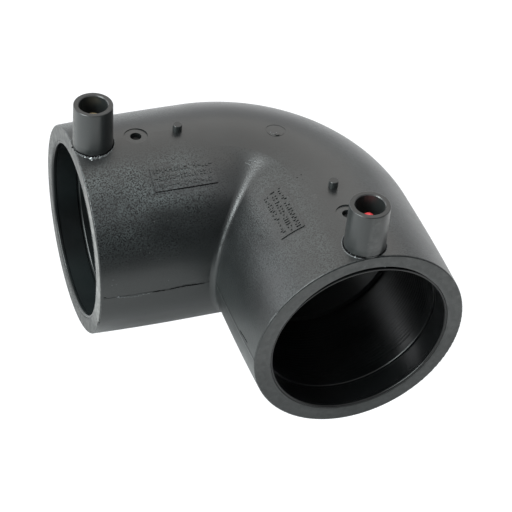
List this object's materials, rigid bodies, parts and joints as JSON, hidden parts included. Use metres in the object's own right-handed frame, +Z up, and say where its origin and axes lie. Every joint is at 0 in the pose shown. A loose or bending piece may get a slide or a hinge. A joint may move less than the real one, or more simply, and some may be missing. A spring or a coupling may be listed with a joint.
{
  "type": "electrofusion elbow",
  "caption": "Moulded plastic 90 degree pipe elbow with electrofusion sockets, embedded heating wire and shrouded terminals.",
  "frame": {"origin": "middle of the footprint, on the surface that the elbow lies on", "axes": "+Z up, along the terminals; socket A opens towards -X and socket B towards -Y"},
  "size_m": [0.1219, 0.1219, 0.0961],
  "materials": {
    "body_pe": "charcoal black polyethylene, fine eroded grain with smoother flow areas",
    "sleeve_pe": "smooth turned and moulded black polyethylene",
    "wire": "drawn resistance wire",
    "pin_brass": "turned brass, slightly dulled",
    "red_plastic": "moulded red plastic",
    "indicator_pe": "moulded black polyethylene"
  },
  "bodies": {
    "root": {"elbow_body": "body_pe", "winding_sleeve_a": "sleeve_pe", "winding_sleeve_b": "sleeve_pe", "heating_coil_a": "wire", "heating_coil_b": "wire", "coil_link_wire": "wire", "terminal_pin_a": "pin_brass", "terminal_pin_b": "pin_brass", "pin_core_b": "red_plastic", "fusion_indicator_a": "indicator_pe", "fusion_indicator_b": "indicator_pe"}
  },
  "joints": []
}
